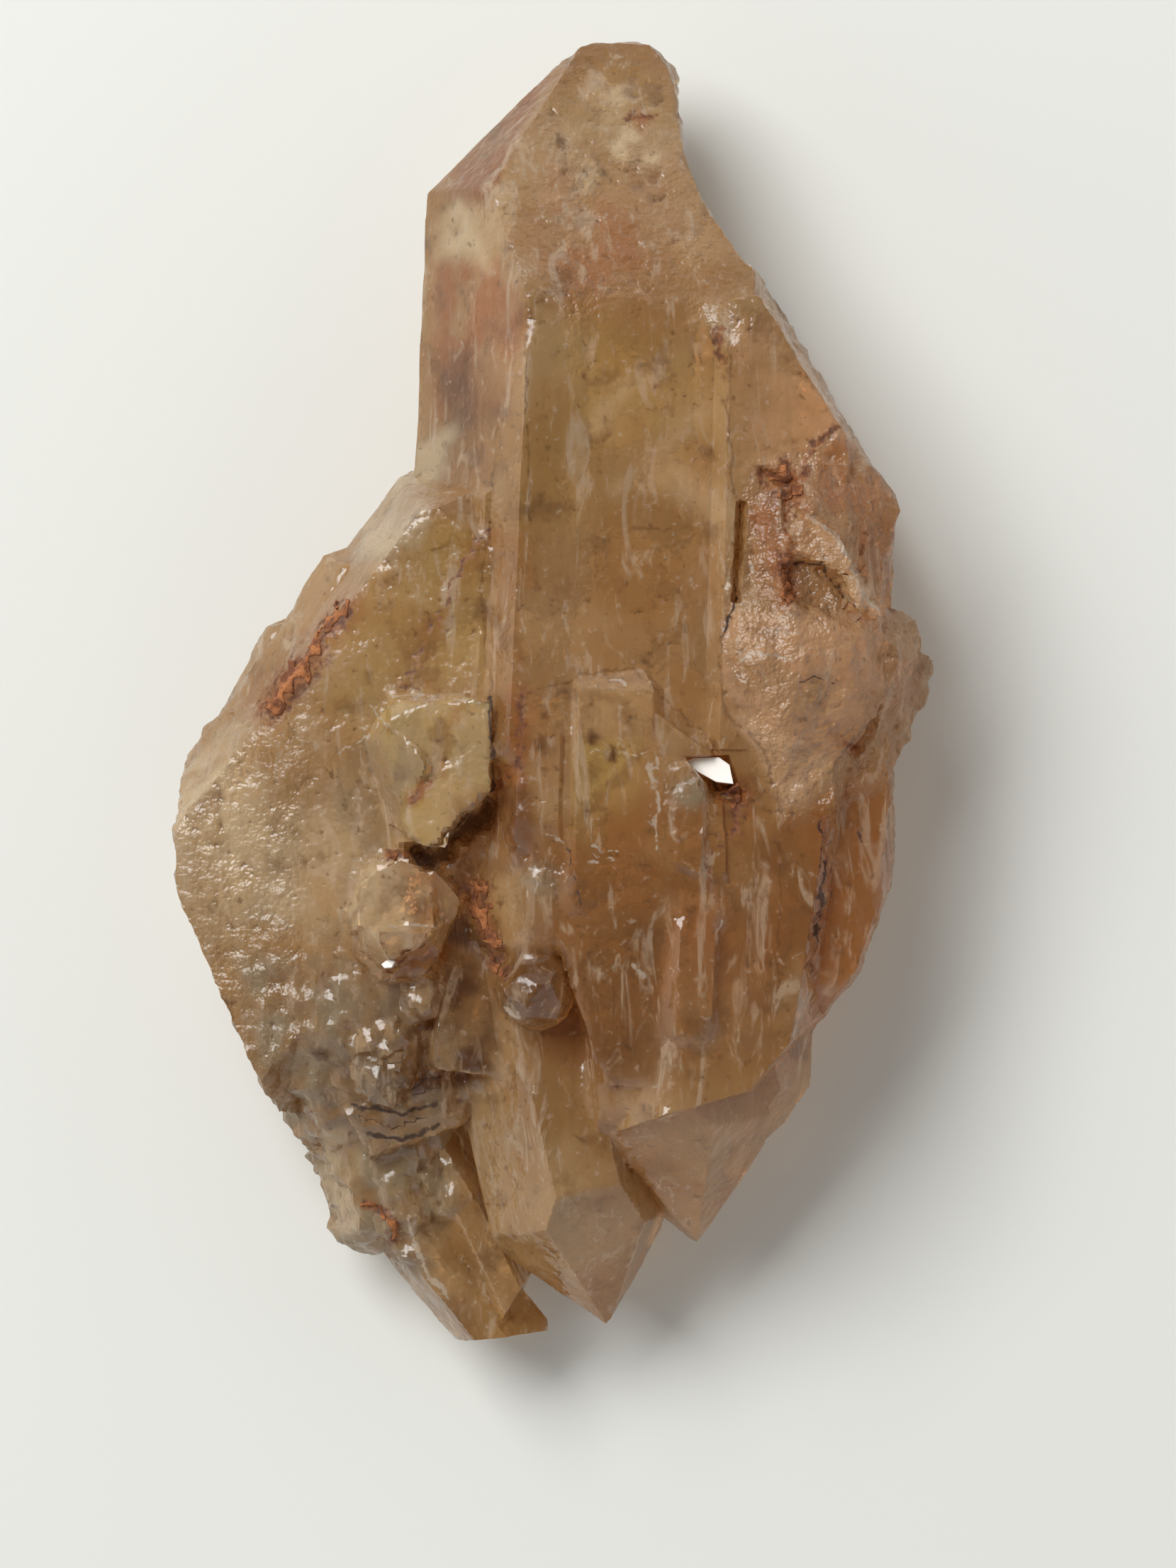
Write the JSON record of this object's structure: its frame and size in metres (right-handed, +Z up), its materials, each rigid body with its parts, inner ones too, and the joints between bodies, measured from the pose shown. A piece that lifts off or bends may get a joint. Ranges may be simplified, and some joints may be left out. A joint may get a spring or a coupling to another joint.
{
  "type": "natural citrine quartz cluster specimen",
  "caption": "Natural quartz crystal cluster, a collector's mineral specimen, with a large worn point, smaller crystals grown against it and broken, clay-stained ends.",
  "frame": {"origin": "under the middle of the specimen's length and width, on the plane it lies on", "axes": "+Y along the specimen towards the main point, +Z up, out of the face with the best crystals, +X to the right when the main point is away from you"},
  "size_m": [0.0402, 0.0698, 0.0173],
  "materials": {
    "quartz": "milky, smoky-tan natural quartz, satin to waxy with veils inside and rough, etched breaks",
    "iron_clay": "dry orange-brown iron clay left in the crevices, dull and powdery"
  },
  "bodies": {
    "root": {"crystal_cluster": "quartz"}
  },
  "joints": []
}
